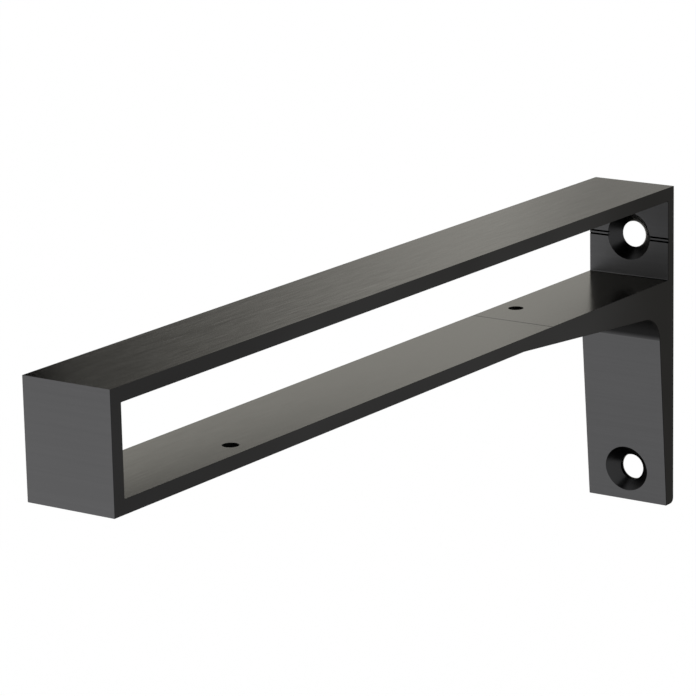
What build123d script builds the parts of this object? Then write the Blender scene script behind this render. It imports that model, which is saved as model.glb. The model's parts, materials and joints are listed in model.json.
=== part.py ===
"""Shelf bracket: one piece of extruded aluminium profile, sawn to width and drilled.

The profile is a long flat loop that stands off the wall, with a foot below it. A shelf board
lies in the loop's slot, and two countersunk screws hold the wall plate.

Frame: millimetres, +Z up. The wall face is the plane Y = 0 and the bracket reaches towards -Y.
X runs across the sawn width, with X = 0 at its middle, and Z = 0 lies midway between the two
wall screws.
"""

from build123d import *
import os

# Loop that holds the shelf board
bracket_width = 20.0
arm_reach = 198.0
upper_arm_thickness = 3.0
slot_height = 17.7
lower_arm_thickness = 2.9
nose_thickness = 3.0

# Wall plate inside the loop, and the tapered foot below it
wall_plate_thickness = 2.5
foot_root_thickness = 6.5
foot_tip_thickness = 3.1

# Wedge under the lower arm, which runs into the foot
gusset_reach = 62.0
gusset_drop = 4.5
root_fillet_radius = 6.5

# Small radii of the die, and the broken edge that is left after sawing
slot_corner_radius = 0.2
heel_radius = 1.2
edge_break = 0.1

# Wall screws
wall_screw_spacing = 53.3
lower_screw_inset = 7.1
wall_screw_clearance = 5.8
wall_screw_head = 10.7
countersink_angle = 90.0

# Screws that hold the shelf board from below, one each side of the middle
shelf_screw_clearance = 3.3
shelf_screw_offset = 5.4
front_screw_reach = 157.5
rear_screw_reach = 40.8

# Twin drilling guide lines across the wall plate, at the upper screw
guide_line_pitch = 0.75
guide_line_width = 0.4
guide_line_depth = 0.35

# Fine line of the die across the lower arm
arm_line_reach = 50.8
arm_line_width = 0.25
arm_line_depth = 0.12

# Heights and depths that follow from the sizes above
loop_height = upper_arm_thickness + slot_height + lower_arm_thickness
upper_screw_z = wall_screw_spacing / 2
lower_screw_z = -wall_screw_spacing / 2
top_z = upper_screw_z + loop_height / 2
slot_top_z = top_z - upper_arm_thickness
slot_bottom_z = slot_top_z - slot_height
underside_z = slot_bottom_z - lower_arm_thickness
gusset_root_z = underside_z - gusset_drop
bottom_z = lower_screw_z - lower_screw_inset
nose_y = -arm_reach
slot_front_y = nose_y + nose_thickness
slot_back_y = -wall_plate_thickness

# The foot's front face leans from the root to the tip, and the lower screw enters it part way
foot_lean = (foot_root_thickness - foot_tip_thickness) / (gusset_root_z - bottom_z)
foot_screw_thickness = foot_tip_thickness + foot_lean * lower_screw_inset


def v_groove(middle, along, width, depth):
    """Outline of a V cut into a face of the YZ profile.

    The middle of its mouth lies on the face, and its valley is on the left of the way along.
    """
    half = along * (width / 2)
    valley = middle + along.rotate(Axis.Z, 90) * depth
    return Polyline(middle - half, middle + half, valley, close=True)


with BuildPart() as bracket:
    # The profile, as it leaves the die
    with BuildSketch(Plane.YZ) as profile:
        with BuildLine():
            Polyline(
                (0, top_z),
                (nose_y, top_z),
                (nose_y, underside_z),
                (-gusset_reach, underside_z),
                (-foot_root_thickness, gusset_root_z),
                (-foot_tip_thickness, bottom_z),
                (0, bottom_z),
                close=True,
            )
        make_face()
        root = profile.vertices().sort_by_distance((-foot_root_thickness, gusset_root_z))[0]
        fillet(root, root_fillet_radius)
        heel = profile.vertices().sort_by_distance((0, bottom_z))[0]
        fillet(heel, heel_radius)

        with BuildLine() as slot:
            Polyline(
                (slot_back_y, slot_top_z),
                (slot_front_y, slot_top_z),
                (slot_front_y, slot_bottom_z),
                (slot_back_y, slot_bottom_z),
                close=True,
            )
            fillet(slot.vertices(), slot_corner_radius)
        make_face(mode=Mode.SUBTRACT)
    extrude(amount=bracket_width / 2, both=True)

    # Both sawn faces are deburred all round
    chamfer(bracket.faces().filter_by(Axis.X).edges(), edge_break)

    # Guide lines and the arm's line run right across the width
    with BuildSketch(Plane.YZ) as lines:
        for side in (-1, 1):
            with BuildLine():
                guide = Vector(slot_back_y, upper_screw_z + side * guide_line_pitch / 2)
                v_groove(guide, Vector(0, -1), guide_line_width, guide_line_depth)
            make_face()
        with BuildLine():
            arm_line = Vector(-arm_line_reach, slot_bottom_z)
            v_groove(arm_line, Vector(-1, 0), arm_line_width, arm_line_depth)
        make_face()
    extrude(amount=bracket_width / 2, both=True, mode=Mode.SUBTRACT)

    # Wall screws enter from the room side, square to the wall
    for screw_z, thickness in ((upper_screw_z, wall_plate_thickness), (lower_screw_z, foot_screw_thickness)):
        with Locations(Plane(origin=(0, -thickness, screw_z), z_dir=(0, -1, 0))):
            CounterSinkHole(
                wall_screw_clearance / 2,
                wall_screw_head / 2,
                depth=thickness,
                counter_sink_angle=countersink_angle,
            )

    # Shelf screws pass up through the lower arm, staggered across the width
    underside_reach = lower_arm_thickness + gusset_drop
    with Locations(
        (shelf_screw_offset, -front_screw_reach, slot_bottom_z),
        (-shelf_screw_offset, -rear_screw_reach, slot_bottom_z),
    ):
        Hole(shelf_screw_clearance / 2, depth=underside_reach)

bracket.part.label = "bracket"

os.makedirs("parts", exist_ok=True)
export_step(bracket.part, "parts/bracket.step")
print("bracket size", bracket.part.bounding_box().size, "volume", round(bracket.part.volume, 1))
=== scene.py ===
"""A shelf bracket of black anodised aluminium profile in a plain white studio.

Lengths are in metres and angles in degrees. The bracket reaches towards -Y from the wall face at
Y = 0, and X runs across its sawn width.
"""

import json
import math

import bpy
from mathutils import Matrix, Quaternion, Vector

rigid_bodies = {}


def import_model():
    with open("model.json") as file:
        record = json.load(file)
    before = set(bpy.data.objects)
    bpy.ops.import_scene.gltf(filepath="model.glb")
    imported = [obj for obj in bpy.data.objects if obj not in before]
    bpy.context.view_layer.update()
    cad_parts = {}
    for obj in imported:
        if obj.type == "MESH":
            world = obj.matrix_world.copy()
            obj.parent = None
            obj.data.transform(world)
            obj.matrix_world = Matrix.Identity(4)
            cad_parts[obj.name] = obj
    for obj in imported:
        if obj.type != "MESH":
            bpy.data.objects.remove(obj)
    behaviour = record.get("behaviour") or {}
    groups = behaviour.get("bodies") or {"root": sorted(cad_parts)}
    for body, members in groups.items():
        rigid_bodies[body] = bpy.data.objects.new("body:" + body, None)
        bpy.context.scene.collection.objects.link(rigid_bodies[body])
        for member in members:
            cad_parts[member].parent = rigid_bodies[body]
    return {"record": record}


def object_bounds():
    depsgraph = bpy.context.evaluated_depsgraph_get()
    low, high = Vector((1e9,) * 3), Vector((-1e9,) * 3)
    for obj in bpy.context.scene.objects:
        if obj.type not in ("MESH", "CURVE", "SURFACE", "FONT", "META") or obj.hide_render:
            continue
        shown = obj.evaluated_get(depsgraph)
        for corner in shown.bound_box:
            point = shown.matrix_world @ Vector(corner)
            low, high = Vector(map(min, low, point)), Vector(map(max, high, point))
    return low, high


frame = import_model()
CAD_LOW, CAD_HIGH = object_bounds()
MOUNTS = {mount["name"]: mount for mount in frame["record"]["mounts"]}

# Places and sizes that follow from the frame
MILLIMETRE = 0.001
SEAT_Z = MOUNTS["shelf_seat"]["pos_m"][2]
SCREW_HALF_SPACING = MOUNTS["wall_screws"]["dims"]["spacing_y_mm"] / 2 * MILLIMETRE
SCREW_HOLE_RADIUS = MOUNTS["wall_screws"]["dims"]["hole_r_mm"] * MILLIMETRE
SMALL_HOLES = (MOUNTS["shelf_screw_front"], MOUNTS["shelf_screw_rear"])

# The photograph's camera: a long lens in front of the nose, to its right and a little above it. The
# lens and the sensor are in millimetres.
CAMERA_EYE = Vector((0.38875, -0.66554, 0.19919))
CAMERA_AZIMUTH = 35.04
CAMERA_ELEVATION = 14.40
CAMERA_ROLL = 1.21
CAMERA_LENS = 184.2
CAMERA_SENSOR = 36.0
CAMERA_NEAREST, CAMERA_FARTHEST = 0.01, 50.0

# Levels of the studio's paint
WHITE, BLACK = 1.0, 0.01

# White surroundings, and a white floor far enough below the bracket for its shadow to stay soft
WORLD_STRENGTH = 1.0
FLOOR_DROP = 0.30
FLOOR_SIZE = 12.0

# A graduated card beyond the arm's far side, which the top of the upper arm mirrors. Its fades are
# places along Y: it is black at the tip, clears towards the wall and is a little shaded past it.
CARD_GAP = 0.04
CARD_CLEARANCE = 0.006
CARD_HEIGHT = 0.30
CARD_OVERHANG = 0.20
CARD_TIP_FADE = (-0.152, -0.132)
CARD_FRONT_FADE = (-0.160, 0.025)
CARD_DENSITY = 0.85
CARD_BACK_FADE = (0.015, 0.075)
CARD_BACK_SHADE = 0.33

# A black card below the foot, which the upper left of each countersink mirrors
LOW_CARD_Z = -0.12
LOW_CARD_X = (-0.080, 0.095)
LOW_CARD_Y = (-0.075, 0.040)

# A dark disc in each wall screw hole, just inside the wall face, which its countersink mirrors
DISC_LEVEL = 0.02
DISC_INSET = 0.0002
DISC_GAP = 0.00005
DISC_SIDES = 48

# Grey level and roughness of the faces that the die made: those that look ahead or down, which are
# painted darker towards the foot as shade, those that look up, with the seat painted lighter than the
# top of the upper arm, and the corner below the arm, painted dark as shade. The wall plate in the slot
# is painted darker than the foot as shade, most so at its top.
NOSE_GREY, FOOT_SHADE_GREY, AHEAD_ROUGHNESS = 0.115, 0.100, 0.42
TOP_GREY, SEAT_LIT_GREY, TOP_ROUGHNESS = 0.088, 0.118, 0.19
CORNER_SHADE_GREY, CORNER_ROUGHNESS = 0.019, 0.55
PLATE_SHADE_GREY, PLATE_TOP_SHADE_GREY = 0.081, 0.062

# Grey level and roughness of the sawn sides, whose level changes towards the wall by these shares as
# painted shade, and of the countersinks, whose dark level is partly painted shade, and the grey levels
# of the guide lines and the small holes, painted near black as shade in their hollows
SAWN_GREY, SAWN_ROUGHNESS = 0.021, 0.55
SAWN_SHADE_ARM_SHARE, SAWN_SHADE_WALL_SHARE = 1.24, 0.72
TURNED_AND_SHADE_GREY, TURNED_ROUGHNESS = 0.030, 0.28
GUIDE_LINE_SHADE_GREY = 0.002
BORE_SHADE_GREY = 0.008

# Tints: blue as a share of red and green, a painted reflection tint that is bluer on faces that look ahead
# and warmer on those that look up, and the tint of what is mirrored at a grazing angle
AHEAD_REFLECTION_BLUE, TOP_REFLECTION_BLUE = 1.025, 0.94
GRAZING_TINT = (0.715, 0.700, 0.665, 1.0)

# Noise behind each kind of mark: its size along X, Y and Z, its detail, and the seed that sets how
# many steps it is moved by
DIE_LINES = ((0.05, 0.0006, 0.0006), 3.0, 1.0)
BRUSH = ((0.0006, 0.0075, 0.0075), 4.0, 5.0)
CLOUDS = ((0.025, 0.040, 0.025), 2.0, 9.0)
GRAIN = ((0.0002, 0.0002, 0.0002), 2.0, 13.0)
SEED_STEP = (1.0, 1.7, 0.3)
NOISE_MIDDLE = 0.5
RING_PITCH = 0.00022

# What the marks change: the grey level and the roughness by these shares, and the relief by these
# multiples of the bump's distance
DIE_LINE_CONTRAST, BRUSH_CONTRAST, CLOUD_CONTRAST = 0.12, 3.6, 0.12
SAWN_GRAIN_CONTRAST, SAWN_CLOUD_CONTRAST = 0.3, 0.8
CLOUD_ROUGHNESS = 0.06
DIE_LINE_RELIEF, BRUSH_RELIEF, GRAIN_RELIEF, RING_RELIEF = 0.4, 20.0, 0.35, 2.0
BUMP_STRENGTH = 0.25
BUMP_DISTANCE = 0.00001

# The brush shows less where the clouds are thin, towards the wall and on the seat
CLOUD_RANGE = (0.30, 0.60)
THIN_SHARE, WALL_SHARE, SEAT_SHARE = 0.5, 0.3, 0.15

# Places along Y between which the brush fades, the painted shade on the sawn sides deepens and the
# painted shade of the corner begins, and heights between which the painted shade on the wall plate
# deepens
BRUSH_FADE = (-0.165, -0.060)
SAWN_SHADE_FADE = (-0.040, -0.008)
CORNER_SHADE_FADE = (-0.034, -0.016)
PLATE_SHADE_FADE = (0.0265, 0.0330)

# Parts of a face's normal along an axis: ranges in which it comes to count as sawn, upward or
# downward, and limits for square to the axis, aslant and parallel to it
SAWN_RANGE = (0.55, 0.65)
UPWARD_RANGE = (0.7, 0.9)
DOWNWARD_RANGE = (-0.085, -0.24)
SQUARE, ASLANT, PARALLEL = 0.9, 0.5, 0.1

# Each mask reaches a little past what it marks
PLATE_REACH = 0.0027
COUNTERSINK_REACH = 0.005
COUNTERSINK_RADIUS = 0.0055
GUIDE_LINES_HALF_HEIGHT = 0.0006
BORE_MARGIN = 0.00025


def grey(level):
    """A grey level as a colour."""
    return level, level, level, 1.0


class Nodes:
    """Short names for building one node tree."""

    def __init__(self, tree):
        self.tree = tree
        self.tree.nodes.clear()

    def add(self, kind, **properties):
        """A new node with the given properties."""
        node = self.tree.nodes.new(kind)
        for name, value in properties.items():
            setattr(node, name, value)
        return node

    def feed(self, socket, value):
        """Links an output to an input, or sets the input's own value."""
        if isinstance(value, bpy.types.NodeSocket):
            self.tree.links.new(value, socket)
        else:
            socket.default_value = value

    def end_with(self, shader, kind="ShaderNodeOutputMaterial"):
        """Makes a shader the surface that the tree gives."""
        self.feed(self.add(kind).inputs["Surface"], shader)

    def matt(self, level):
        """A matt shader of one grey level."""
        paint = self.add("ShaderNodeBsdfDiffuse")
        paint.inputs["Color"].default_value = grey(level)
        return paint.outputs["BSDF"]

    def math(self, operation, first, second=0.0):
        node = self.add("ShaderNodeMath", operation=operation)
        self.feed(node.inputs[0], first)
        self.feed(node.inputs[1], second)
        return node.outputs["Value"]

    def plus(self, first, second):
        return self.math("ADD", first, second)

    def minus(self, first, second):
        return self.math("SUBTRACT", first, second)

    def unsigned(self, value):
        return self.math("ABSOLUTE", value)

    def over(self, value, limit):
        """1 where the value is over the limit, and 0 elsewhere."""
        return self.math("GREATER_THAN", value, limit)

    def under(self, value, limit):
        """1 where the value is under the limit, and 0 elsewhere."""
        return self.math("LESS_THAN", value, limit)

    def times(self, *values):
        """The product of all the values."""
        product = values[0]
        for value in values[1:]:
            product = self.math("MULTIPLY", product, value)
        return product

    def distance(self, first, second):
        """The distance that two offsets at right angles make."""
        return self.math("SQRT", self.plus(self.times(first, first), self.times(second, second)))

    def between(self, value, low, high, start=0.0, end=1.0):
        """Goes smoothly from start to end as the value goes from low to high."""
        node = self.add("ShaderNodeMapRange", interpolation_type="SMOOTHSTEP")
        self.feed(node.inputs["Value"], value)
        for name, bound in (("From Min", low), ("From Max", high), ("To Min", start), ("To Max", end)):
            self.feed(node.inputs[name], bound)
        return node.outputs["Result"]

    def blend(self, factor, first, second):
        """One number or the other, by the factor."""
        node = self.add("ShaderNodeMix", data_type="FLOAT")
        for name, value in (("Factor", factor), ("A", first), ("B", second)):
            self.feed(node.inputs[name], value)
        return node.outputs["Result"]

    def tinted(self, level, blue_share):
        """A grey level as a colour with a little more or less blue."""
        node = self.add("ShaderNodeCombineColor")
        for name, value in (("Red", level), ("Green", level), ("Blue", self.times(level, blue_share))):
            self.feed(node.inputs[name], value)
        return node.outputs["Color"]

    def split(self, vector):
        """The parts of a vector along X, Y and Z."""
        node = self.add("ShaderNodeSeparateXYZ")
        self.feed(node.inputs["Vector"], vector)
        return node.outputs["X"], node.outputs["Y"], node.outputs["Z"]

    def noise(self, coordinates, size, detail, seed):
        """Noise whose features measure about the given size along each axis, in metres."""
        place = self.add("ShaderNodeMapping")
        place.inputs["Scale"].default_value = [1 / length for length in size]
        place.inputs["Location"].default_value = [seed * step for step in SEED_STEP]
        self.feed(place.inputs["Vector"], coordinates)
        noise = self.add("ShaderNodeTexNoise")
        noise.inputs["Scale"].default_value = 1.0
        noise.inputs["Detail"].default_value = detail
        self.feed(noise.inputs["Vector"], place.outputs["Vector"])
        return noise.outputs["Fac"]

    def centred(self, noise):
        """Noise as a change to both sides of 0."""
        return self.minus(noise, NOISE_MIDDLE)

    def swing(self, noise, share):
        """Noise as a change of about the given share to both sides of 0."""
        return self.times(self.centred(noise), share)


class Anodised(Nodes):
    """Black anodised aluminium, with the marks of the die, the brush, the saw and the countersink, and
    with painted shade and painted light in places.
    """

    def __init__(self, tree):
        super().__init__(tree)
        self.find_places()
        self.find_faces()
        self.find_marks()
        self.build_shader()

    def find_places(self):
        """Where each point lies and faces, how far up it is and how far from a wall screw's axis."""
        source = self.add("ShaderNodeTexCoord")
        self.coordinates = source.outputs["Object"]
        self.x, self.y, self.z = self.split(self.coordinates)
        self.facing_x, self.facing_y, self.facing_z = self.split(source.outputs["Normal"])
        self.aloft = self.between(self.z, SEAT_Z, CAD_HIGH.z)
        self.screw_radius = self.distance(self.x, self.minus(self.unsigned(self.z), SCREW_HALF_SPACING))

    def find_faces(self):
        """Masks of the kinds of face, each 1 on its own kind."""
        self.sawn = self.between(self.unsigned(self.facing_x), *SAWN_RANGE)
        self.upward = self.between(self.facing_z, *UPWARD_RANGE)
        downward = self.between(self.facing_z, *DOWNWARD_RANGE)
        # Painted shade: faces that look down near the wall, in the corner below the arm, get a dark level
        self.corner = self.times(downward, self.between(self.y, *CORNER_SHADE_FADE))
        self.turned = self.countersinks()

    def find_marks(self):
        """Marks that change both the level and the relief or the roughness."""
        self.clouds = self.noise(self.coordinates, *CLOUDS)
        self.grain = self.noise(self.coordinates, *GRAIN)
        self.streaks = self.die_lines_or_brush()

    def countersinks(self):
        """1 on the cone and the bore of either wall screw hole."""
        near = self.under(self.screw_radius, COUNTERSINK_RADIUS)
        by_wall = self.over(self.y, -COUNTERSINK_REACH)
        sloped = self.under(self.unsigned(self.facing_y), SQUARE)
        return self.times(near, by_wall, sloped)

    def small_holes(self):
        """1 on the walls of the two small holes through the lower arm."""
        near = []
        for hole in SMALL_HOLES:
            x, y, _ = hole["pos_m"]
            radius = self.distance(self.minus(self.x, x), self.minus(self.y, y))
            near.append(self.under(radius, hole["dims"]["r_mm"] * MILLIMETRE + BORE_MARGIN))
        upright = self.under(self.unsigned(self.facing_z), ASLANT)
        return self.times(self.math("MAXIMUM", *near), upright)

    def guide_lines(self):
        """1 on the flanks of the twin guide lines across the wall plate."""
        near = self.under(self.unsigned(self.minus(self.z, SCREW_HALF_SPACING)), GUIDE_LINES_HALF_HEIGHT)
        on_plate = self.over(self.y, -PLATE_REACH)
        sloped = self.under(self.unsigned(self.facing_y), SQUARE)
        lengthwise = self.under(self.unsigned(self.facing_x), PARALLEL)
        return self.times(near, on_plate, sloped, lengthwise)

    def slot_plate(self):
        """1 on the wall plate's front face inside the slot."""
        on_plate = self.over(self.y, -PLATE_REACH)
        above_seat = self.over(self.z, SEAT_Z)
        ahead = self.under(self.facing_y, -SQUARE)
        return self.times(on_plate, above_seat, ahead)

    def die_lines_or_brush(self):
        """Brush marks on the faces that look up, and die lines on the others, to both sides of 0."""
        worn = self.times(
            self.between(self.clouds, *CLOUD_RANGE, THIN_SHARE, 1.0),
            self.between(self.y, *BRUSH_FADE, 1.0, WALL_SHARE),
            self.blend(self.aloft, SEAT_SHARE, 1.0),
        )
        die_lines = self.centred(self.noise(self.coordinates, *DIE_LINES))
        brush = self.swing(self.noise(self.coordinates, *BRUSH), worn)
        return self.blend(self.upward, die_lines, brush)

    def drawn_level(self):
        """Grey level of the faces that the die made, with painted shade towards the foot, on the wall
        plate in the slot and in the corner below the arm, and painted light on the seat.
        """
        # Painted shade: the faces that look ahead darken from the nose towards the foot
        ahead = self.between(self.y, CAD_LOW.y, CAD_HIGH.y, NOSE_GREY, FOOT_SHADE_GREY)
        # Painted shade: the wall plate in the slot is darker than the foot, and darker still at its top
        plate = self.between(self.z, *PLATE_SHADE_FADE, PLATE_SHADE_GREY, PLATE_TOP_SHADE_GREY)
        # Painted light: the seat is given a lighter level than the top of the upper arm
        top = self.blend(self.aloft, SEAT_LIT_GREY, TOP_GREY)
        level = self.blend(self.upward, self.blend(self.slot_plate(), ahead, plate), top)
        # Painted shade: the corner below the arm gets a dark level
        level = self.blend(self.corner, level, CORNER_SHADE_GREY)
        contrast = self.blend(self.upward, DIE_LINE_CONTRAST, BRUSH_CONTRAST)
        marks = self.plus(self.swing(self.clouds, CLOUD_CONTRAST), self.times(self.streaks, contrast))
        return self.times(level, self.plus(1.0, marks))

    def sawn_level(self):
        """Grey level of the sawn sides, with painted shade that darkens them towards the wall."""
        # Painted shade: the sawn sides darken towards the wall
        wall_shade = self.between(self.y, *SAWN_SHADE_FADE, SAWN_SHADE_ARM_SHARE, SAWN_SHADE_WALL_SHARE)
        grain = self.swing(self.grain, SAWN_GRAIN_CONTRAST)
        clouds = self.swing(self.clouds, SAWN_CLOUD_CONTRAST)
        return self.times(SAWN_GREY, wall_shade, self.plus(1.0, self.plus(grain, clouds)))

    def level(self):
        """Grey level of the whole surface."""
        level = self.blend(self.sawn, self.drawn_level(), self.sawn_level())
        # Painted shade: the flanks of the guide lines are near black
        level = self.blend(self.guide_lines(), level, GUIDE_LINE_SHADE_GREY)
        # Painted shade: the walls of the small holes are near black
        level = self.blend(self.small_holes(), level, BORE_SHADE_GREY)
        # The countersinks' dark level is partly their turned finish and partly painted shade
        return self.blend(self.turned, level, TURNED_AND_SHADE_GREY)

    def roughness(self):
        """Roughness of the whole surface."""
        rough = self.blend(self.upward, AHEAD_ROUGHNESS, TOP_ROUGHNESS)
        rough = self.blend(self.corner, rough, CORNER_ROUGHNESS)
        rough = self.plus(rough, self.swing(self.clouds, CLOUD_ROUGHNESS))
        rough = self.blend(self.sawn, rough, SAWN_ROUGHNESS)
        return self.blend(self.turned, rough, TURNED_ROUGHNESS)

    def relief(self):
        """The normal over streaks and grain, and over turned rings in the countersinks."""
        streaks = self.times(self.streaks, self.blend(self.upward, DIE_LINE_RELIEF, BRUSH_RELIEF))
        rings = self.math("SINE", self.times(self.screw_radius, 2 * math.pi / RING_PITCH))
        height = self.plus(streaks, self.times(self.grain, GRAIN_RELIEF))
        height = self.blend(self.turned, height, self.times(rings, RING_RELIEF))
        bump = self.add("ShaderNodeBump")
        bump.inputs["Strength"].default_value = BUMP_STRENGTH
        bump.inputs["Distance"].default_value = BUMP_DISTANCE
        self.feed(bump.inputs["Height"], height)
        return bump.outputs["Normal"]

    def build_shader(self):
        """Metal all over, with the level, the roughness and the relief of each place."""
        shader = self.add("ShaderNodeBsdfPrincipled")
        shader.inputs["Metallic"].default_value = 1.0
        shader.inputs["Specular Tint"].default_value = GRAZING_TINT
        # The blue share is a painted reflection tint: bluer ahead, warmer on faces that look up
        blue_share = self.blend(self.upward, AHEAD_REFLECTION_BLUE, TOP_REFLECTION_BLUE)
        self.feed(shader.inputs["Base Color"], self.tinted(self.level(), blue_share))
        self.feed(shader.inputs["Roughness"], self.roughness())
        self.feed(shader.inputs["Normal"], self.relief())
        self.end_with(shader.outputs["BSDF"])


def new_material(name, kind=Nodes):
    """A material, and its node tree as the given class builds it."""
    material = bpy.data.materials.new(name)
    material.use_nodes = True
    return material, kind(material.node_tree)


def dress_bracket():
    """Gives the bracket its finish, in every slot of its own mesh."""
    finish, _ = new_material("black_anodised", Anodised)
    for piece in bpy.data.objects:
        if piece.type == "MESH" and piece.name.split(".")[0] == "bracket":
            for slot in piece.material_slots:
                slot.material = finish


def matt_material(name, level):
    """A matt paint of one grey level, for the studio alone."""
    material, nodes = new_material(name)
    nodes.end_with(nodes.matt(level))
    return material


def graduated_material():
    """Paint of the graduated card, more or less see-through by the place along Y."""
    material, nodes = new_material("studio_graduated")
    along = nodes.split(nodes.add("ShaderNodeTexCoord").outputs["Object"])[1]
    tip = nodes.between(along, *CARD_TIP_FADE, 0.0, 1 - CARD_DENSITY)
    front = nodes.between(along, *CARD_FRONT_FADE, 0.0, CARD_DENSITY)
    back = nodes.between(along, *CARD_BACK_FADE, 0.0, CARD_BACK_SHADE)
    mix = nodes.add("ShaderNodeMixShader")
    nodes.feed(mix.inputs[0], nodes.minus(nodes.plus(tip, front), back))
    nodes.feed(mix.inputs[1], nodes.matt(BLACK))
    nodes.feed(mix.inputs[2], nodes.add("ShaderNodeBsdfTransparent").outputs["BSDF"])
    nodes.end_with(mix.outputs["Shader"])
    return material


def build_floor():
    """A matt white floor, as bright as the surroundings where nothing shades it."""
    bpy.ops.mesh.primitive_plane_add(size=FLOOR_SIZE, location=(0, 0, CAD_LOW.z - FLOOR_DROP))
    floor = bpy.context.object
    floor.name = "floor"
    floor.data.materials.append(matt_material("studio_floor", WHITE))


def add_card(name, outline, material):
    """A flat card, of any outline, that only mirrors see."""
    mesh = bpy.data.meshes.new(name)
    mesh.from_pydata(outline, [], [range(len(outline))])
    mesh.materials.append(material)
    card = bpy.data.objects.new(name, mesh)
    card.visible_camera = False
    card.visible_diffuse = False
    card.visible_shadow = False
    bpy.context.collection.objects.link(card)


def build_side_card():
    """The graduated card stands beyond the arm's far side, above the upper arm."""
    x = CAD_LOW.x - CARD_GAP
    bottom = CAD_HIGH.z + CARD_CLEARANCE
    top = bottom + CARD_HEIGHT
    front, back = CAD_LOW.y - CARD_OVERHANG, CAD_HIGH.y + CARD_OVERHANG
    corners = [(x, front, bottom), (x, back, bottom), (x, back, top), (x, front, top)]
    add_card("side_card", corners, graduated_material())


def build_discs():
    """A dark disc fills the back end of each wall screw hole."""
    dark = matt_material("studio_dark", DISC_LEVEL)
    radius = SCREW_HOLE_RADIUS - DISC_GAP
    y = CAD_HIGH.y - DISC_INSET
    turns = [2 * math.pi * i / DISC_SIDES for i in range(DISC_SIDES)]
    for name, z in (("upper_disc", SCREW_HALF_SPACING), ("lower_disc", -SCREW_HALF_SPACING)):
        add_card(name, [(radius * math.cos(a), y, z + radius * math.sin(a)) for a in turns], dark)


def build_low_card():
    """The black card lies flat below the foot."""
    (left, right), (front, back) = LOW_CARD_X, LOW_CARD_Y
    corners = [(x, y, LOW_CARD_Z) for x, y in ((left, front), (right, front), (right, back), (left, back))]
    add_card("low_card", corners, matt_material("studio_black", BLACK))


def build_world():
    """Soft white surroundings."""
    world = bpy.data.worlds.new("studio")
    bpy.context.scene.world = world
    world.use_nodes = True
    nodes = Nodes(world.node_tree)
    background = nodes.add("ShaderNodeBackground")
    background.inputs["Color"].default_value = grey(WHITE)
    background.inputs["Strength"].default_value = WORLD_STRENGTH
    nodes.end_with(background.outputs["Background"], "ShaderNodeOutputWorld")


def build_camera():
    """The camera looks along its azimuth and elevation, and is rolled a little about that line."""
    data = bpy.data.cameras.new("camera")
    data.lens = CAMERA_LENS
    data.sensor_width = CAMERA_SENSOR
    data.clip_start = CAMERA_NEAREST
    data.clip_end = CAMERA_FARTHEST
    camera = bpy.data.objects.new("camera", data)
    azimuth, elevation = math.radians(CAMERA_AZIMUTH), math.radians(CAMERA_ELEVATION)
    ahead = Vector((
        -math.sin(azimuth) * math.cos(elevation),
        math.cos(azimuth) * math.cos(elevation),
        -math.sin(elevation),
    ))
    roll = Quaternion((0, 0, 1), math.radians(-CAMERA_ROLL))
    camera.rotation_mode = "QUATERNION"
    camera.rotation_quaternion = ahead.to_track_quat("-Z", "Y") @ roll
    camera.location = CAMERA_EYE
    bpy.context.collection.objects.link(camera)
    bpy.context.scene.camera = camera


dress_bracket()
build_floor()
build_side_card()
build_discs()
build_low_card()
build_world()
build_camera()
bpy.context.scene.view_settings.view_transform = "Standard"
